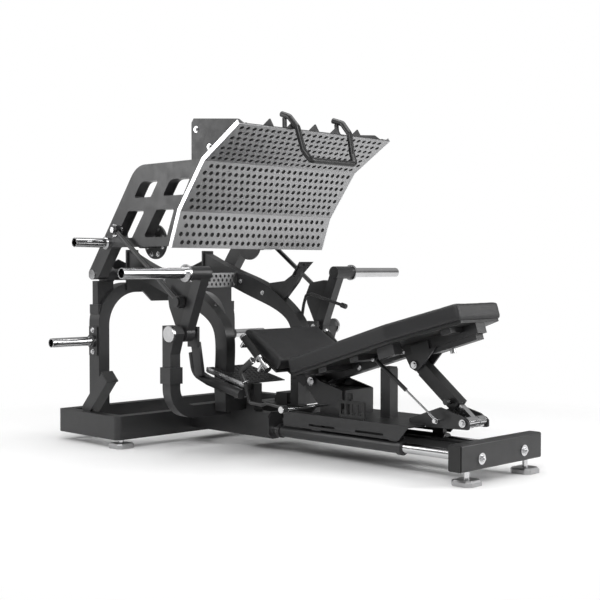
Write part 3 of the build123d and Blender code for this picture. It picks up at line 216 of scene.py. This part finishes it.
COAT = powder_coat("powder_coat", grey=0.0075, rough=0.34)
COAT_MATT = powder_coat("powder_coat_matt", grey=0.006, rough=0.44)
CHROME = metal("chrome_plate", grey=0.62, low=0.12, high=0.22, scale=30.0)
PLATE = metal("brushed_plate", grey=0.42, low=0.36, high=0.5, scale=60.0,
              stretch=(12.0, 0.6, 12.0), bump=0.12)
ALUMINIUM = metal("cast_aluminium", grey=0.45, low=0.34, high=0.5, scale=160.0, bump=0.2)
PLASTIC = moulded("moulded_plastic", grey=0.007, rough=0.5, scale=900.0)
RUBBER = moulded("grip_rubber", grey=0.006, rough=0.66, scale=500.0)
VINYL = vinyl()
BRIGHT_EDGE = metal("bright_edge", grey=0.95, low=0.25, high=0.35, scale=60.0)
BY_SLOT = {"frame_black": COAT, "chrome": CHROME, "brushed_plate": PLATE, "aluminium": ALUMINIUM,
           "plastic": PLASTIC, "vinyl": VINYL, "rubber": RUBBER}
slot_of = {entry["node"]: entry["material_slot"] for entry in frame["record"]["subparts"]}


def finish_with(obj, material):
    """Gives an object one material."""
    if not obj.material_slots:
        obj.data.materials.append(material)
    for place in obj.material_slots:
        place.link = "OBJECT"
        place.material = material


for name, obj in nodes.items():
    finish_with(obj, BY_SLOT[slot_of[name]])
for name in ("foot_plate_edges", "tread_edge_trims"):
    finish_with(nodes[name], BRIGHT_EDGE)
for name in ("plate_wings", "tread_plates", "tread_carriers", "plate_frame", "seat_frame",
             "back_frame", "centre_rail"):
    finish_with(nodes[name], COAT_MATT)


# ---------------------------------------------------------------- mesh helpers
def link_object(name, data):
    """New object in the scene's own collection."""
    obj = bpy.data.objects.new(name, data)
    bpy.context.scene.collection.objects.link(obj)
    return obj


def mesh_object(name, build, material):
    """Smooth object from a bmesh builder."""
    mesh = bpy.data.meshes.new(name)
    bm = bmesh.new()
    build(bm)
    bmesh.ops.recalc_face_normals(bm, faces=bm.faces)
    for face in bm.faces:
        face.smooth = True
    bm.to_mesh(mesh)
    bm.free()
    obj = link_object(name, mesh)
    mesh.materials.append(material)
    return obj


def torus(bm, centre, axis, big, small, steps=28, sides=8):
    """Ring round an axis."""
    turn = Vector(axis).normalized().to_track_quat("Z", "Y").to_matrix()
    rings = []
    for i in range(steps):
        a = 2 * pi * i / steps
        ring = []
        for j in range(sides):
            b = 2 * pi * j / sides
            r = big + small * cos(b)
            point = Vector((r * cos(a), r * sin(a), small * sin(b)))
            ring.append(bm.verts.new(Vector(centre) + turn @ point))
        rings.append(ring)
    for i in range(steps):
        for j in range(sides):
            a, b = rings[i], rings[(i + 1) % steps]
            bm.faces.new((a[j], a[(j + 1) % sides], b[(j + 1) % sides], b[j]))


# ---------------------------------------------------------------- pads
def evaluated_mesh(obj):
    """The mesh of an object with its modifiers applied."""
    depsgraph = bpy.context.evaluated_depsgraph_get()
    return bpy.data.meshes.new_from_object(obj.evaluated_get(depsgraph))


def blow_up(obj, cap, pressure):
    """Inflates an object as cloth, then holds every vertex within the cap of where it was."""
    scene = bpy.context.scene
    rest = [vertex.co.copy() for vertex in obj.data.vertices]
    cloth = obj.modifiers.new("cloth", "CLOTH")
    cloth.settings.use_pressure = True
    cloth.settings.uniform_pressure_force = pressure
    cloth.settings.effector_weights.gravity = 0.0
    cloth.settings.quality = 5
    cloth.point_cache.frame_start = 1
    cloth.point_cache.frame_end = PAD_FRAMES
    for number in range(1, PAD_FRAMES + 1):
        scene.frame_set(number)
    blown = evaluated_mesh(obj)
    obj.modifiers.clear()
    for vertex, old in zip(blown.vertices, rest):
        shift = vertex.co - old
        if shift.length > cap:
            shift = shift.normalized() * cap
        vertex.co = old + shift
    obj.data = blown
    scene.frame_set(1)


def stuffed(name, node, cap, pressure):
    """Foam pad: the plain solid, remeshed, blown up by a cloth simulation and held within a cap."""
    low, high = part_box(node)
    obj = link_object(name, nodes[node].data.copy())
    middle = (Vector(low) + Vector(high)) / 2
    for vertex in obj.data.vertices:
        vertex.co = middle + (vertex.co - middle) * PAD_SHRINK
    remesh = obj.modifiers.new("remesh", "REMESH")
    remesh.mode = "VOXEL"
    remesh.voxel_size = PAD_VOXEL
    start = evaluated_mesh(obj)
    obj.modifiers.clear()
    obj.data = start
    blow_up(obj, cap, pressure)
    for polygon in obj.data.polygons:
        polygon.use_smooth = True
    smooth = obj.modifiers.new("smooth", "SMOOTH")
    smooth.factor = 0.5
    smooth.iterations = 4
    subdivision = obj.modifiers.new("subdivide", "SUBSURF")
    subdivision.levels = 1
    subdivision.render_levels = 1
    finish_with(obj, VINYL)
    return obj


seat_pad = stuffed("seat_cushion", "seat_pad", PAD_CAP, PAD_PRESSURE)
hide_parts("seat_pad")
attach(seat_pad, "carriage")
back_pad = stuffed("back_cushion", "back_pad", PAD_CAP, PAD_PRESSURE)
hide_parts("back_pad")
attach(back_pad, "back_rest")


# ---------------------------------------------------------------- grip ribs and end rings
def ribs(bm):
    """Raised ribs round both seat grips."""
    top = Vector(GRIP_TOP)
    along = (Vector(GRIP_END) - top).normalized()
    for side in (-1, 1):
        for k in range(RIB_COUNT):
            centre = top + along * (RIB_START + k * RIB_STEP) + Vector((0, side * GRIP_SIDE, 0))
            torus(bm, centre, along, RIB_RADIUS, RIB_WIRE)


grip_ribs = mesh_object("grip_ribs", ribs, RUBBER)
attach(grip_ribs, "carriage")


def release_rings(bm):
    """Chrome rings at both ends of the release grip."""
    for centre, axis in (((-0.0205, -0.385, 0.3505), (0.55, 0, -0.84)),
                         ((0.0285, -0.385, 0.457), (0.82, 0, 0.57))):
        torus(bm, centre, axis, RELEASE_RING_RADIUS, RELEASE_RING_WIRE)


rings = mesh_object("release_grip_rings", release_rings, CHROME)
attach(rings, "seat_release")


# ---------------------------------------------------------------- floor, light and camera
def area(name, place, target, size, power):
    """Soft rectangular light aimed at a point."""
    light = bpy.data.lights.new(name, "AREA")
    light.shape = "RECTANGLE"
    light.size = size[0]
    light.size_y = size[1]
    light.energy = power
    lamp = link_object(name, light)
    lamp.location = place
    lamp.rotation_euler = (Vector(target) - Vector(place)).to_track_quat("-Z", "Y").to_euler()


def floor_material():
    """Pale matt floor round the machine that fades into glowing white further out."""
    material, tree, shader, coords = new_material("pale_floor")
    cloud = noise(tree, coords, scale=2.0)
    drive(tree, shader, "Base Color", cloud, 0.86, 0.88)
    shader.inputs["Roughness"].default_value = 0.7
    span = tree.nodes.new("ShaderNodeVectorMath")
    span.operation = "LENGTH"
    tree.links.new(coords.outputs["Object"], span.inputs[0])
    share = tree.nodes.new("ShaderNodeMapRange")
    share.inputs["From Min"].default_value = FADE_START
    share.inputs["From Max"].default_value = FADE_END
    tree.links.new(span.outputs["Value"], share.inputs["Value"])
    fade = ramp(tree, share.outputs["Result"], 0.0, 1.0, start=0.0, end=1.0)
    glow = tree.nodes.new("ShaderNodeEmission")
    glow.inputs["Color"].default_value = WHITE
    glow.inputs["Strength"].default_value = 1.0
    blend = tree.nodes.new("ShaderNodeMixShader")
    tree.links.new(fade.outputs["Color"], blend.inputs["Fac"])
    tree.links.new(shader.outputs["BSDF"], blend.inputs[1])
    tree.links.new(glow.outputs["Emission"], blend.inputs[2])
    tree.links.new(blend.outputs["Shader"], tree.nodes["Material Output"].inputs["Surface"])
    return material


def studio_world():
    """World that is white to the camera and a grey gradient to light and reflections."""
    world = bpy.data.worlds.new("studio")
    world.use_nodes = True
    tree = world.node_tree
    studio = tree.nodes["Background"]
    white = tree.nodes.new("ShaderNodeBackground")
    white.inputs["Color"].default_value = WHITE
    white.inputs["Strength"].default_value = 1.0
    coords = tree.nodes.new("ShaderNodeTexCoord")
    height = tree.nodes.new("ShaderNodeSeparateXYZ")
    tree.links.new(coords.outputs["Generated"], height.inputs["Vector"])
    tone = ramp(tree, height.outputs["Z"], 0.06, 0.5, start=0.0, end=0.75)
    tree.links.new(tone.outputs["Color"], studio.inputs["Color"])
    studio.inputs["Strength"].default_value = 1.0
    path = tree.nodes.new("ShaderNodeLightPath")
    pick = tree.nodes.new("ShaderNodeMixShader")
    tree.links.new(path.outputs["Is Camera Ray"], pick.inputs["Fac"])
    tree.links.new(studio.outputs["Background"], pick.inputs[1])
    tree.links.new(white.outputs["Background"], pick.inputs[2])
    tree.links.new(pick.outputs["Shader"], tree.nodes["World Output"].inputs["Surface"])
    return world


floor_mesh = bpy.data.meshes.new("floor")
floor_corners = [(x * FLOOR_REACH, y * FLOOR_REACH, FLOOR_HEIGHT)
                 for x, y in ((-1, -1), (1, -1), (1, 1), (-1, 1))]
floor_mesh.from_pydata(floor_corners, [], [(0, 1, 2, 3)])
floor_mesh.materials.append(floor_material())
floor = link_object("floor", floor_mesh)

bpy.context.scene.world = studio_world()
area("key", place=(2.6, -3.4, 3.6), target=(0, 0, 0.7), size=(2.6, 2.0), power=110)
area("side", place=(-3.2, -3.0, 2.4), target=(-0.4, 0, 0.7), size=(1.6, 2.6), power=60)
area("head", place=(3.6, 2.2, 2.2), target=(0.2, 0, 0.6), size=(1.6, 2.4), power=90)
area("top", place=(-0.2, 0.2, 4.4), target=(0, 0, 0.5), size=(3.4, 2.4), power=110)

camera_data = bpy.data.cameras.new("camera")
camera_data.lens = CAMERA_LENS
camera_data.sensor_width = 36.0
camera_data.clip_end = 200.0
camera = link_object("camera", camera_data)
camera.location = CAMERA_PLACE
turn, pitch = radians(CAMERA_TURN), radians(CAMERA_PITCH)
direction = Vector((-cos(turn) * cos(pitch), sin(turn) * cos(pitch), -sin(pitch)))
camera.rotation_euler = direction.to_track_quat("-Z", "Y").to_euler()
bpy.context.scene.camera = camera
bpy.context.scene.view_settings.view_transform = "Standard"
